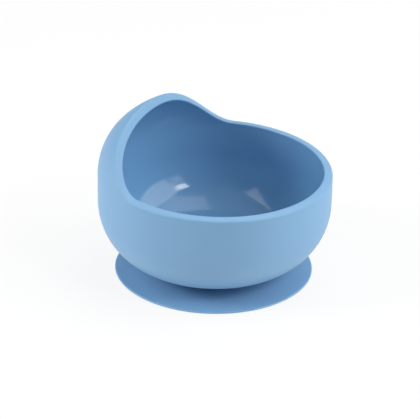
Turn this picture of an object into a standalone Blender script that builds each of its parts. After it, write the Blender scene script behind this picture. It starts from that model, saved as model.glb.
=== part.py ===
"""Suction bowl for feeding a baby: a hooded silicone bowl pushed onto a silicone suction base.

Units are metres and +Z is up. The origin is on the table, on the axis that the bowl and
its base are turned about. The hood stands at +Y, and the low side of the rim, where the
spoon goes in, is at -Y. The bowl lifts off its base along +Z, and pressing the bowl down
flattens the suction skirt, so both motions run along the Z axis.
"""
import math

import bmesh
import bpy
from mathutils import Vector

# Bowl
BOWL_RADIUS = 0.060
WALL = 0.0045
FLOOR_THICKNESS = 0.0055
SEAT_Z = 0.0062  # underside of the bowl, flat out to the seat radius
SEAT_RADIUS = 0.0286
BELLY_Z = 0.0397  # where the curved lower wall becomes upright
SHOULDER_Z = 0.0538  # where the upright wall starts to curl inwards
HOOD_CURL = 0.0338  # radius of that curl in a section through the axis

# Rim, tilted a little outwards. Its outer edge follows one line in the side view: nearly
# level at the low side, then part of a quarter ellipse up to the top of the hood
LOW_RIM_Z = 0.0573  # height where the ellipse starts
LOW_RIM_SLOPE = 0.023  # the level part falls a little towards the spoon side
HOOD_EDGE_Y = 0.0423  # where the whole quarter ellipse would end
SWEEP_REACH = 0.0252  # its radius along Y
SWEEP_RISE = 0.0506  # its radius along Z
RIM_TILT = 0.0011  # how far the inner edge stands above the outer edge
OUTER_EDGE_ROUND = 0.001
INNER_EDGE_ROUND = 0.0009

# Push fit: a round plug on the base, seated in a blind socket under the bowl
SOCKET_RADIUS = 0.0153
SOCKET_DEPTH = 0.0035
SOCKET_LEAD_IN = 0.0005
FIT_GAP = 0.0003

# Suction base
SKIRT_RADIUS = 0.0513
LIP_THICKNESS = 0.0012
LIP_ROUND = 0.0006
CONTACT_BAND = 0.002  # flat ring that meets the table
HUB_RADIUS = 0.024
SKIRT_ROOT_Z = 0.005  # top of the skirt where it meets the hub
SKIRT_SWEEP = 1.6  # how late the top of the skirt rises towards the hub
CUP_DEPTH = 0.003  # height of the hollow under the middle of the base
PLUG_EDGE = 0.0006

SEGMENTS = 64
FOOT_STEPS = 7
SIDE_STEPS = 6
RIGHT_ANGLE = math.pi / 2
SHARP_ANGLE = math.radians(40)

SILICONE_BLUE = (0.2, 0.41, 0.64, 1.0)
BASE_BLUE = (0.19, 0.4, 0.63, 1.0)


def clear_scene():
    for thing in list(bpy.data.objects):
        bpy.data.objects.remove(thing, do_unlink=True)


def silicone(name, colour, roughness):
    material = bpy.data.materials.new(name)
    material.use_nodes = True
    shader = material.node_tree.nodes["Principled BSDF"]
    shader.inputs["Base Color"].default_value = colour
    shader.inputs["Roughness"].default_value = roughness
    shader.inputs["Metallic"].default_value = 0.0
    return material


def around(angle, radius, height):
    """Point at an angle from the hood, which is at +Y."""
    return Vector((radius * math.sin(angle), radius * math.cos(angle), height))


def circle(radius, height):
    """One ring of points all the way round the axis."""
    turns = [2 * math.pi * step / SEGMENTS for step in range(SEGMENTS)]
    return [around(turn, radius, height) for turn in turns]


def solid_of_rings(name, rings, origin_z, material, hollow_middle=False):
    """Skin rings into one closed solid whose object origin is on the axis at origin_z.

    The first and last rings are capped, or joined to each other when the solid is
    itself a ring with a hollow middle.
    """
    shape = bmesh.new()
    drop = Vector((0.0, 0.0, origin_z))
    loops = [[shape.verts.new(point - drop) for point in ring] for ring in rings]
    pairs = list(zip(loops, loops[1:]))
    if hollow_middle:
        pairs.append((loops[-1], loops[0]))
    else:
        shape.faces.new(loops[0])
        shape.faces.new(loops[-1])
    for near, far in pairs:
        for index in range(SEGMENTS):
            after = (index + 1) % SEGMENTS
            shape.faces.new((near[index], near[after], far[after], far[index]))
    bmesh.ops.recalc_face_normals(shape, faces=shape.faces)
    mesh = bpy.data.meshes.new(name)
    shape.to_mesh(mesh)
    shape.free()
    mesh.shade_smooth()
    mesh.set_sharp_from_angle(angle=SHARP_ANGLE)
    mesh.materials.append(material)
    solid = bpy.data.objects.new(name, mesh)
    bpy.context.scene.collection.objects.link(solid)
    return solid


def lower_wall(turn, inset):
    """Ring of the curved lower wall, from turn 0 at the seat to a right angle at the belly.

    inset is 0 on the outer face and 1 on the inner face.
    """
    across = BOWL_RADIUS - SEAT_RADIUS - WALL * inset
    down = BELLY_Z - SEAT_Z - FLOOR_THICKNESS * inset
    return circle(SEAT_RADIUS + across * math.sin(turn), BELLY_Z - down * math.cos(turn))


def upper_wall(climb, inset):
    """Radius and height at a distance climbed up the outer face from the belly."""
    curled = max(climb - (SHOULDER_Z - BELLY_Z), 0.0)
    turn = curled / HOOD_CURL
    reach = HOOD_CURL - WALL * inset
    radius = BOWL_RADIUS - HOOD_CURL + reach * math.cos(turn)
    height = BELLY_Z + climb - curled + reach * math.sin(turn)
    return radius, height


def upper_point(angle, climb, inset):
    return around(angle, *upper_wall(climb, inset))


def beyond_rim(point):
    """Distance past the side-view line of the rim, negative where there is wall."""
    sweep_y = HOOD_EDGE_Y - SWEEP_REACH
    sweep_z = LOW_RIM_Z + SWEEP_RISE
    if point.y < sweep_y:
        return point.z - LOW_RIM_Z - LOW_RIM_SLOPE * (point.y - sweep_y)
    along = (point.y - sweep_y) / SWEEP_REACH
    below = (sweep_z - point.z) / SWEEP_RISE
    return SWEEP_REACH * (1 - math.hypot(along, below))


def rim_climb(angle):
    """How far up the outer face the rim line first crosses it."""
    step = 0.001
    low = 0.0
    while beyond_rim(upper_point(angle, low + step, 0.0)) < 0.0:
        low += step
    high = low + step
    for _ in range(24):
        middle = (low + high) / 2
        if beyond_rim(upper_point(angle, middle, 0.0)) < 0.0:
            low = middle
        else:
            high = middle
    return low


def rim_slant(angle):
    """Sine of the angle between the rim and the meridian that meets it."""
    turn = 0.01
    ahead = upper_point(angle + turn, rim_climb(angle + turn), 0.5)
    behind = upper_point(angle - turn, rim_climb(angle - turn), 0.5)
    top = rim_climb(angle)
    climbing = upper_point(angle, top, 0.5) - upper_point(angle, top - 0.001, 0.5)
    return (ahead - behind).normalized().cross(climbing.normalized()).length


def rim_section():
    """Rim rows as (rise above the line of the outer edge, distance in from the outer face)."""
    arc = (0.0, RIGHT_ANGLE / 2, RIGHT_ANGLE)
    corners = [(turn, OUTER_EDGE_ROUND, 0.0) for turn in arc]
    corners += [(turn, INNER_EDGE_ROUND, WALL) for turn in reversed(arc)]
    rows = []
    for turn, edge_round, face in corners:
        distance = abs(face - edge_round * (1 - math.cos(turn)))
        rise = RIM_TILT * distance / WALL - edge_round * (1 - math.sin(turn))
        rows.append((rise, distance))
    return rows


def upper_column(angle):
    """Points of the upper wall at one angle: up the outer face, over the rim, down inside."""
    top = rim_climb(angle)
    slant = rim_slant(angle)
    outer_top = top - OUTER_EDGE_ROUND / slant
    inner_top = top + (RIM_TILT - INNER_EDGE_ROUND) / slant
    steps = [step / SIDE_STEPS for step in range(1, SIDE_STEPS)]
    column = [upper_point(angle, outer_top * step, 0.0) for step in steps]
    for rise, distance in rim_section():
        column.append(upper_point(angle, top + rise / slant, distance / WALL))
    column += [upper_point(angle, inner_top * step, 1.0) for step in reversed(steps)]
    return column


def bowl(material):
    """Bowl with its hood, from the socket ceiling round the outside to the floor inside."""
    ceiling_z = SEAT_Z + SOCKET_DEPTH
    rings = [
        circle(SOCKET_RADIUS, ceiling_z),
        circle(SOCKET_RADIUS, SEAT_Z + SOCKET_LEAD_IN),
        circle(SOCKET_RADIUS + SOCKET_LEAD_IN, SEAT_Z),
    ]
    foot = [RIGHT_ANGLE * step / FOOT_STEPS for step in range(FOOT_STEPS + 1)]
    rings += [lower_wall(turn, 0.0) for turn in foot]
    angles = [2 * math.pi * step / SEGMENTS for step in range(SEGMENTS)]
    columns = [upper_column(angle) for angle in angles]
    rings += [list(ring) for ring in zip(*columns)]
    rings += [lower_wall(turn, 1.0) for turn in reversed(foot)]
    return solid_of_rings("bowl", rings, SEAT_Z, material)


def cup_height(radius):
    """Height of the hollow underside of the base."""
    band_start = SKIRT_RADIUS - LIP_ROUND - CONTACT_BAND
    return CUP_DEPTH * (1 - (radius / band_start) ** 2)


def skirt_top(radius):
    """Height of the top of the skirt, thin at the lip and thicker at the hub."""
    rise = (SKIRT_RADIUS - radius) / (SKIRT_RADIUS - HUB_RADIUS)
    return LIP_THICKNESS + (SKIRT_ROOT_Z - LIP_THICKNESS) * rise ** SKIRT_SWEEP


def suction_skirt(material):
    """Thin flexible ring that seals against the table."""
    root = HUB_RADIUS + FIT_GAP
    band_end = SKIRT_RADIUS - LIP_ROUND
    band_start = band_end - CONTACT_BAND
    steps = [step / 6 for step in range(7)]
    under = [root + (band_start - root) * step for step in steps]
    over = [band_end + (root - band_end) * step for step in steps]
    rings = [circle(radius, cup_height(radius)) for radius in under]
    rings.append(circle(band_end, 0.0))
    rings.append(circle(SKIRT_RADIUS, LIP_ROUND))
    rings += [circle(radius, skirt_top(radius)) for radius in over]
    return solid_of_rings("suction_skirt", rings, 0.0, material, hollow_middle=True)


def base_hub(material):
    """Thick middle of the suction base, with the plug that the bowl is pushed onto."""
    plug = SOCKET_RADIUS - FIT_GAP
    top = SEAT_Z - FIT_GAP
    plug_top = SEAT_Z + SOCKET_DEPTH - FIT_GAP
    steps = [step / 3 for step in range(1, 4)]
    rings = [circle(HUB_RADIUS * step, cup_height(HUB_RADIUS * step)) for step in steps]
    rings += [
        circle(HUB_RADIUS, top),
        circle(plug, top),
        circle(plug, plug_top - PLUG_EDGE),
        circle(plug - PLUG_EDGE, plug_top),
    ]
    return solid_of_rings("base_hub", rings, cup_height(HUB_RADIUS), material)


def assemble():
    clear_scene()
    bowl_silicone = silicone("bowl_silicone", SILICONE_BLUE, 0.55)
    base_silicone = silicone("base_silicone", BASE_BLUE, 0.5)
    skirt = suction_skirt(base_silicone)
    hub = base_hub(base_silicone)
    top = bowl(bowl_silicone)
    hub.location = (0.0, 0.0, cup_height(HUB_RADIUS))
    hub.parent = skirt
    top.location = (0.0, 0.0, SEAT_Z - cup_height(HUB_RADIUS))
    top.parent = hub


assemble()
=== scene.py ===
"""Looks of the suction bowl: fine silicone surfaces, soft studio light and the camera.

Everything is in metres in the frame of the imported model: the origin is on the table on
the bowl's axis, the hood is at +Y and the low side of the rim at -Y.
"""
import math

import bmesh
import bpy
from mathutils import Matrix, Vector


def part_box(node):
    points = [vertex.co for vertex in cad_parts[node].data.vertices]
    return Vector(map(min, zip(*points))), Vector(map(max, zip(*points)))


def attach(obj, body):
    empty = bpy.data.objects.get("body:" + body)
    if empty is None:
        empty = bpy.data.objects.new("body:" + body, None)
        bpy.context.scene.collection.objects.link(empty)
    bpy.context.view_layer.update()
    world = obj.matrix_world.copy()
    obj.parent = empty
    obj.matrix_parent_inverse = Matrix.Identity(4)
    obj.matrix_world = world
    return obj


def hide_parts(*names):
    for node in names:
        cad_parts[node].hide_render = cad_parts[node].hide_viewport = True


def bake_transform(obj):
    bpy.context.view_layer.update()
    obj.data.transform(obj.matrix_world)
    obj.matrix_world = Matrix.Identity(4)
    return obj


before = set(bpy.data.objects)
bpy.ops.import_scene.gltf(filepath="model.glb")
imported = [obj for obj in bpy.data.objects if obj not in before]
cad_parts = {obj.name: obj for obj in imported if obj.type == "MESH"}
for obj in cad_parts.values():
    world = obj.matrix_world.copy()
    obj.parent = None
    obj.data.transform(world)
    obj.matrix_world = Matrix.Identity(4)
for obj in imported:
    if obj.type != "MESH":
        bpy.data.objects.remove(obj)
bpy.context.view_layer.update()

RIGHT_ANGLE = math.pi / 2

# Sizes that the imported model's boxes give
BOWL_LOW, BOWL_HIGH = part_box("bowl")
BOWL_RADIUS = BOWL_HIGH[0]
SEAT_Z = BOWL_LOW[2]
SKIRT_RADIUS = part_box("suction_skirt")[1][0]

# Bowl wall
WALL = 0.0045
FLOOR_THICKNESS = 0.0055
SEAT_RADIUS = 0.0286
BELLY_Z = 0.0397  # where the curved lower wall becomes upright
SHOULDER_Z = 0.0538  # where the upright wall starts to curl inwards
HOOD_CURL = 0.0338  # radius of that curl in a section through the axis

# Rim, tilted a little outwards. Its outer edge follows one line in the side view: nearly
# level at the low side, then part of a quarter ellipse up to the top of the hood
LOW_RIM_Z = 0.0573  # height where the ellipse starts
LOW_RIM_SLOPE = 0.023  # the level part falls a little towards the spoon side
HOOD_EDGE_Y = 0.0423  # where the whole quarter ellipse would end
SWEEP_REACH = 0.0252  # its radius along Y
SWEEP_RISE = 0.0506  # its radius along Z
RIM_TILT = 0.0011  # how far the inner edge stands above the outer edge
OUTER_EDGE_ROUND = 0.001
INNER_EDGE_ROUND = 0.0009

# Push fit: a round plug on the base, seated in a blind socket under the bowl
SOCKET_RADIUS = 0.0153
SOCKET_DEPTH = 0.0035
SOCKET_EDGE_ROUND = 0.0005
FIT_GAP = 0.0003
PLUG_EDGE_ROUND = 0.0006

# Suction base
LIP_THICKNESS = 0.0012
CONTACT_BAND = 0.002  # flat ring that meets the table
CUP_DEPTH = 0.003  # height of the hollow under the middle
NECK_RADIUS = 0.0245
NECK_FILLET = 0.0022
SKIRT_ROOT_Z = 0.0049  # top of the skirt where it meets the neck
SKIRT_SWEEP = 1.6  # how late the top of the skirt rises towards the neck

# Steps in the meshes
SEGMENTS = 192
FOOT_STEPS = 26
SIDE_STEPS = 22
EDGE_STEPS = 6  # round each edge of the rim
SKIRT_STEPS = 24  # across the top of the skirt, and across the underside
LIP_STEPS = 12
FILLET_STEPS = 6
PLUG_EDGE_STEPS = 4
SOCKET_EDGE_STEPS = 3


def around(angle, radius, height):
    """Point at an angle from the hood, which is at +Y."""
    return Vector((radius * math.sin(angle), radius * math.cos(angle), height))


def turns(count):
    """Evenly spaced angles all the way round the axis."""
    return [2 * math.pi * step / count for step in range(count)]


def circle(radius, height):
    """One ring of points all the way round the axis."""
    return [around(turn, radius, height) for turn in turns(SEGMENTS)]


def skin(name, rings):
    """Closed mesh object through rings of points, capped with a flat face at both ends."""
    shape = bmesh.new()
    loops = [[shape.verts.new(point) for point in ring] for ring in rings]
    shape.faces.new(loops[0])
    shape.faces.new(loops[-1])
    for near, far in zip(loops, loops[1:]):
        for index in range(len(near)):
            after = (index + 1) % len(near)
            shape.faces.new((near[index], near[after], far[after], far[index]))
    bmesh.ops.recalc_face_normals(shape, faces=shape.faces)
    mesh = bpy.data.meshes.new(name)
    shape.to_mesh(mesh)
    shape.free()
    mesh.shade_smooth()
    piece = bpy.data.objects.new(name, mesh)
    bpy.context.scene.collection.objects.link(piece)
    return piece


# ---- bowl ----

def lower_wall(turn, inset):
    """Ring of the curved lower wall, turn 0 at the seat and a right angle at the belly."""
    across = BOWL_RADIUS - SEAT_RADIUS - WALL * inset
    down = BELLY_Z - SEAT_Z - FLOOR_THICKNESS * inset
    return circle(SEAT_RADIUS + across * math.sin(turn), BELLY_Z - down * math.cos(turn))


def upper_wall(climb, inset):
    """Radius and height at a distance climbed up the outer face from the belly."""
    curled = max(climb - (SHOULDER_Z - BELLY_Z), 0.0)
    turn = curled / HOOD_CURL
    reach = HOOD_CURL - WALL * inset
    radius = BOWL_RADIUS - HOOD_CURL + reach * math.cos(turn)
    height = BELLY_Z + climb - curled + reach * math.sin(turn)
    return radius, height


def upper_point(angle, climb, inset):
    return around(angle, *upper_wall(climb, inset))


def beyond_rim(point):
    """Distance past the side-view line of the rim, negative where there is wall."""
    sweep_y = HOOD_EDGE_Y - SWEEP_REACH
    sweep_z = LOW_RIM_Z + SWEEP_RISE
    if point.y < sweep_y:
        return point.z - LOW_RIM_Z - LOW_RIM_SLOPE * (point.y - sweep_y)
    along = (point.y - sweep_y) / SWEEP_REACH
    below = (sweep_z - point.z) / SWEEP_RISE
    return SWEEP_REACH * (1 - math.hypot(along, below))


def rim_climb(angle):
    """How far up the outer face the rim line first crosses it."""
    step = 0.001
    low = 0.0
    while beyond_rim(upper_point(angle, low + step, 0.0)) < 0.0:
        low += step
    high = low + step
    for _ in range(24):
        middle = (low + high) / 2
        if beyond_rim(upper_point(angle, middle, 0.0)) < 0.0:
            low = middle
        else:
            high = middle
    return low


def rim_slant(angle):
    """Sine of the angle between the rim and the meridian that meets it."""
    turn = 0.01
    ahead = upper_point(angle + turn, rim_climb(angle + turn), 0.5)
    behind = upper_point(angle - turn, rim_climb(angle - turn), 0.5)
    top = rim_climb(angle)
    climbing = upper_point(angle, top, 0.5) - upper_point(angle, top - 0.001, 0.5)
    return (ahead - behind).normalized().cross(climbing.normalized()).length


def rim_section():
    """Rim rows as (rise above the line of the outer edge, distance in from the outer face)."""
    arc = [RIGHT_ANGLE * step / EDGE_STEPS for step in range(EDGE_STEPS + 1)]
    corners = [(turn, OUTER_EDGE_ROUND, 0.0) for turn in arc]
    corners += [(turn, INNER_EDGE_ROUND, WALL) for turn in reversed(arc)]
    rows = []
    for turn, edge_round, face in corners:
        distance = abs(face - edge_round * (1 - math.cos(turn)))
        rise = RIM_TILT * distance / WALL - edge_round * (1 - math.sin(turn))
        rows.append((rise, distance))
    return rows


def upper_column(angle):
    """Points of the upper wall at one angle: up the outer face, over the rim, down inside."""
    top = rim_climb(angle)
    slant = rim_slant(angle)
    outer_top = top - OUTER_EDGE_ROUND / slant
    inner_top = top + (RIM_TILT - INNER_EDGE_ROUND) / slant
    steps = [step / SIDE_STEPS for step in range(1, SIDE_STEPS)]
    column = [upper_point(angle, outer_top * step, 0.0) for step in steps]
    for rise, distance in rim_section():
        column.append(upper_point(angle, top + rise / slant, distance / WALL))
    column += [upper_point(angle, inner_top * step, 1.0) for step in reversed(steps)]
    return column


def socket_rings():
    """Blind socket from the edge of its ceiling out over its rounded mouth."""
    rings = [circle(SOCKET_RADIUS, SEAT_Z + SOCKET_DEPTH)]
    for step in range(SOCKET_EDGE_STEPS + 1):
        turn = RIGHT_ANGLE * step / SOCKET_EDGE_STEPS
        radius = SOCKET_RADIUS + SOCKET_EDGE_ROUND * (1 - math.cos(turn))
        height = SEAT_Z + SOCKET_EDGE_ROUND * (1 - math.sin(turn))
        rings.append(circle(radius, height))
    return rings


def make_bowl():
    """Bowl from its socket round the outside and over the rim to the floor inside."""
    foot = [RIGHT_ANGLE * step / FOOT_STEPS for step in range(FOOT_STEPS + 1)]
    columns = [upper_column(angle) for angle in turns(SEGMENTS)]
    rings = socket_rings()
    rings += [lower_wall(turn, 0.0) for turn in foot]
    outside_rings = len(rings) + SIDE_STEPS - 1 + EDGE_STEPS + 1
    rings += [list(ring) for ring in zip(*columns)]
    rings += [lower_wall(turn, 1.0) for turn in reversed(foot)]
    piece = skin("bowl_moulding", rings)
    # The "inside" value polishes the inner face and also darkens its colour as painted shade
    polish_and_shade = piece.data.attributes.new("inside", "FLOAT", "POINT")
    for index, value in enumerate(polish_and_shade.data):
        past_edge = index // SEGMENTS - outside_rings
        value.value = min(max(past_edge / EDGE_STEPS, 0.0), 1.0)
    return piece


# ---- suction base ----

def cup_height(radius):
    """Height of the hollow underside of the base."""
    band_start = SKIRT_RADIUS - LIP_THICKNESS / 2 - CONTACT_BAND
    return CUP_DEPTH * (1 - (radius / band_start) ** 2)


def skirt_top(radius):
    """Height of the top of the skirt, thin at the lip and thicker at the neck."""
    rise = (SKIRT_RADIUS - radius) / (SKIRT_RADIUS - NECK_RADIUS)
    return LIP_THICKNESS + (SKIRT_ROOT_Z - LIP_THICKNESS) * max(rise, 0.0) ** SKIRT_SWEEP


def base_profile():
    """Radius and height down the middle of the underside, round the lip and up to the plug."""
    lip = LIP_THICKNESS / 2
    band_end = SKIRT_RADIUS - lip
    band_start = band_end - CONTACT_BAND
    neck_top = SEAT_Z - FIT_GAP
    plug = SOCKET_RADIUS - FIT_GAP
    plug_top = SEAT_Z + SOCKET_DEPTH - FIT_GAP
    points = []
    for step in range(1, SKIRT_STEPS + 1):
        radius = band_start * step / SKIRT_STEPS
        points.append((radius, cup_height(radius)))
    for step in range(LIP_STEPS + 1):
        turn = math.pi * step / LIP_STEPS
        points.append((band_end + lip * math.sin(turn), lip - lip * math.cos(turn)))
    root = NECK_RADIUS + NECK_FILLET
    for step in range(1, SKIRT_STEPS + 1):
        radius = band_end + (root - band_end) * step / SKIRT_STEPS
        points.append((radius, skirt_top(radius)))
    for step in range(1, FILLET_STEPS + 1):
        turn = RIGHT_ANGLE * step / FILLET_STEPS
        radius = NECK_RADIUS + NECK_FILLET * (1 - math.sin(turn))
        height = skirt_top(root) + (neck_top - skirt_top(root)) * (1 - math.cos(turn))
        points.append((radius, height))
    points.append((plug + PLUG_EDGE_ROUND, neck_top))
    points.append((plug, neck_top + PLUG_EDGE_ROUND / 2))
    for step in range(PLUG_EDGE_STEPS + 1):
        turn = RIGHT_ANGLE * step / PLUG_EDGE_STEPS
        radius = plug - PLUG_EDGE_ROUND * (1 - math.cos(turn))
        height = plug_top - PLUG_EDGE_ROUND * (1 - math.sin(turn))
        points.append((radius, height))
    return points


def make_suction_base():
    return skin("suction_base", [circle(*point) for point in base_profile()])


# ---- materials ----

# Silicone: matt outside and on the base, polished inside. The inside colour is a little
# deeper, partly for the polished face and partly as painted shade inside the bowl
MATT_COLOUR = (0.209, 0.403, 0.63, 1.0)
POLISHED_SHADED_COLOUR = (0.161, 0.345, 0.564, 1.0)
MATT_ROUGHNESS = 0.5
POLISHED_ROUGHNESS = 0.11
SHINE = 0.42  # specular level of both faces
CLOUDS_PER_METRE = 38.0  # slow drift of the pigment
CLOUD_DEPTH = 0.03  # how far the drift goes either side of the colour
SMEARS_PER_METRE = 95.0  # patches where handling has changed the gloss
SMEAR_DEPTH = 0.05
GRAINS_PER_METRE = 2400.0  # blasted texture of the mould
GRAIN_HEIGHT = 0.00003


def noise(nodes, coordinates, scale, detail):
    """Noise texture in the object's own space."""
    texture = nodes.new("ShaderNodeTexNoise")
    texture.inputs["Scale"].default_value = scale
    texture.inputs["Detail"].default_value = detail
    nodes.id_data.links.new(coordinates, texture.inputs["Vector"])
    return texture.outputs["Fac"]


def spread(nodes, source, low, high):
    """Map a value of 0 to 1 onto a range from low to high."""
    mapping = nodes.new("ShaderNodeMapRange")
    mapping.inputs["To Min"].default_value = low
    mapping.inputs["To Max"].default_value = high
    nodes.id_data.links.new(source, mapping.inputs["Value"])
    return mapping.outputs["Result"]


def product(nodes, first, second):
    """One value times another."""
    maths = nodes.new("ShaderNodeMath")
    maths.operation = "MULTIPLY"
    nodes.id_data.links.new(first, maths.inputs[0])
    nodes.id_data.links.new(second, maths.inputs[1])
    return maths.outputs["Value"]


def silicone(name):
    """Silicone that is matt where the point attribute "inside" is 0, and polished and darker
    with painted shade where 1.
    """
    material = bpy.data.materials.new(name)
    material.use_nodes = True
    nodes, links = material.node_tree.nodes, material.node_tree.links
    shader = nodes["Principled BSDF"]
    shader.inputs["Specular IOR Level"].default_value = SHINE
    place = nodes.new("ShaderNodeTexCoord").outputs["Object"]
    inside = nodes.new("ShaderNodeAttribute")
    inside.attribute_name = "inside"

    # Inside, the colour turns deeper: partly the polished face, partly painted shade inside
    # the bowl
    face = nodes.new("ShaderNodeMix")
    face.data_type = "RGBA"
    face.inputs["A"].default_value = MATT_COLOUR
    face.inputs["B"].default_value = POLISHED_SHADED_COLOUR
    clouds = nodes.new("ShaderNodeHueSaturation")
    links.new(inside.outputs["Fac"], face.inputs["Factor"])
    drift = noise(nodes, place, CLOUDS_PER_METRE, 4.0)
    drift = spread(nodes, drift, 1 - CLOUD_DEPTH, 1 + CLOUD_DEPTH)
    links.new(drift, clouds.inputs["Value"])
    links.new(face.outputs["Result"], clouds.inputs["Color"])
    links.new(clouds.outputs["Color"], shader.inputs["Base Color"])

    rough = spread(nodes, inside.outputs["Fac"], MATT_ROUGHNESS, POLISHED_ROUGHNESS)
    smears = noise(nodes, place, SMEARS_PER_METRE, 3.0)
    smears = spread(nodes, smears, 1 - SMEAR_DEPTH, 1 + SMEAR_DEPTH)
    links.new(product(nodes, rough, smears), shader.inputs["Roughness"])

    grain = nodes.new("ShaderNodeBump")
    grain.inputs["Distance"].default_value = GRAIN_HEIGHT
    links.new(spread(nodes, inside.outputs["Fac"], 1.0, 0.0), grain.inputs["Strength"])
    links.new(noise(nodes, place, GRAINS_PER_METRE, 2.0), grain.inputs["Height"])
    links.new(grain.outputs["Normal"], shader.inputs["Normal"])
    return material


# ---- studio ----

# Azimuth is measured from the low side of the bowl at -Y, and is positive towards +X
CAMERA_AZIMUTH = math.radians(-63.65)
CAMERA_ELEVATION = math.radians(26.35)
CAMERA_DISTANCE = 1.13
CAMERA_ROLL = math.radians(0.98)
LENS = 188.1  # millimetres
SENSOR_WIDTH = 36.0  # millimetres
AIM_RIGHT = -0.00234  # of the bowl's axis, as the camera sees it
AIM_HEIGHT = 0.03313


def direction(azimuth, elevation):
    """Unit vector from the bowl towards a camera or a light."""
    level = math.cos(elevation)
    return Vector((math.sin(azimuth) * level,
                   -math.cos(azimuth) * level,
                   math.sin(elevation)))


def place_camera():
    """Camera that looks at the aim point, turned a little about its own line of sight."""
    right = Vector((math.cos(CAMERA_AZIMUTH), math.sin(CAMERA_AZIMUTH), 0.0))
    back = direction(CAMERA_AZIMUTH, CAMERA_ELEVATION)
    up = back.cross(right)
    rolled_right = math.cos(CAMERA_ROLL) * right + math.sin(CAMERA_ROLL) * up
    rolled_up = math.cos(CAMERA_ROLL) * up - math.sin(CAMERA_ROLL) * right
    aim = AIM_RIGHT * right + Vector((0.0, 0.0, AIM_HEIGHT))
    place = aim + CAMERA_DISTANCE * back
    data = bpy.data.cameras.new("camera")
    data.sensor_width = SENSOR_WIDTH
    data.lens = LENS
    camera = bpy.data.objects.new("camera", data)
    turned = Matrix((rolled_right, rolled_up, back)).transposed().to_4x4()
    camera.matrix_world = Matrix.Translation(place) @ turned
    bpy.context.scene.collection.objects.link(camera)
    bpy.context.scene.camera = camera


# Soft boxes: degrees round to the right of the camera, degrees up, width and height in
# metres, and power in watts. The right lamp makes the bright spot on the polished floor
BOX_DISTANCE = 1.2  # from the middle of the bowl
BOX_AIM = Vector((0.0, 0.0, 0.04))
SOFT_BOXES = {
    "right_box": (83, 32, 1.05, 0.9, 9.8),
    "right_lamp": (45.2, 41, 0.25, 0.2, 1.7),
    "right_glow": (47, 31, 0.285, 0.6, 1.2),
    "left_box": (-79, 37, 0.9, 0.85, 5.5),
    "left_mid": (-86, 16, 1.0, 0.4, 1.9),
    "left_lamp": (-76, 29, 0.35, 0.35, 3.8),
    "back_box": (165, 50, 1.0, 0.6, 2.8),
    "back_low": (165, 7, 0.8, 0.25, 0.7),
    "top_box": (100, 69, 0.8, 0.7, 2.8),
    "top_wide": (-60, 84, 1.6, 1.6, 2.9),
}


def soft_box(name, turn, climb, width, height, power):
    """Rectangular area light that looks at the bowl."""
    back = direction(CAMERA_AZIMUTH + math.radians(turn), math.radians(climb))
    data = bpy.data.lights.new(name, "AREA")
    data.shape = "RECTANGLE"
    data.size = width
    data.size_y = height
    data.energy = power
    light = bpy.data.objects.new(name, data)
    light.rotation_mode = "QUATERNION"
    light.rotation_quaternion = back.to_track_quat("Z", "Y")
    light.location = BOX_AIM + back * BOX_DISTANCE
    bpy.context.scene.collection.objects.link(light)


# The floor glows as well as catching light, which keeps it pale all the way to its edges
FLOOR_HALF_WIDTH = 4.0
FLOOR_DROP = 0.0002  # keeps it just clear of the flat band under the base
FLOOR_GREY = 0.15
FLOOR_GLOW = 0.83
WORLD_STRENGTH = 0.02


def make_floor():
    half = FLOOR_HALF_WIDTH
    corners = [(-half, -half, 0.0), (half, -half, 0.0), (half, half, 0.0), (-half, half, 0.0)]
    data = bpy.data.meshes.new("floor")
    data.from_pydata(corners, [], [(0, 1, 2, 3)])
    floor = bpy.data.objects.new("floor", data)
    floor.location.z = -FLOOR_DROP
    material = bpy.data.materials.new("pale_floor")
    material.use_nodes = True
    shader = material.node_tree.nodes["Principled BSDF"]
    shader.inputs["Base Color"].default_value = (FLOOR_GREY, FLOOR_GREY, FLOOR_GREY, 1.0)
    shader.inputs["Roughness"].default_value = 0.6
    shader.inputs["Specular IOR Level"].default_value = 0.0
    shader.inputs["Emission Color"].default_value = (1.0, 1.0, 1.0, 1.0)
    shader.inputs["Emission Strength"].default_value = FLOOR_GLOW
    data.materials.append(material)
    bpy.context.scene.collection.objects.link(floor)


def make_world():
    world = bpy.data.worlds.new("studio")
    world.use_nodes = True
    background = world.node_tree.nodes["Background"]
    background.inputs["Color"].default_value = (1.0, 1.0, 1.0, 1.0)
    background.inputs["Strength"].default_value = WORLD_STRENGTH
    bpy.context.scene.world = world


bowl = make_bowl()
bowl.data.materials.append(silicone("bowl_silicone"))
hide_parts("bowl")
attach(bowl, "bowl")

base = make_suction_base()
base.data.materials.append(silicone("base_silicone"))
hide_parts("suction_skirt", "base_hub")
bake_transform(base)

place_camera()
make_floor()
make_world()
for name, setting in SOFT_BOXES.items():
    soft_box(name, *setting)
bpy.context.scene.view_settings.view_transform = "Standard"
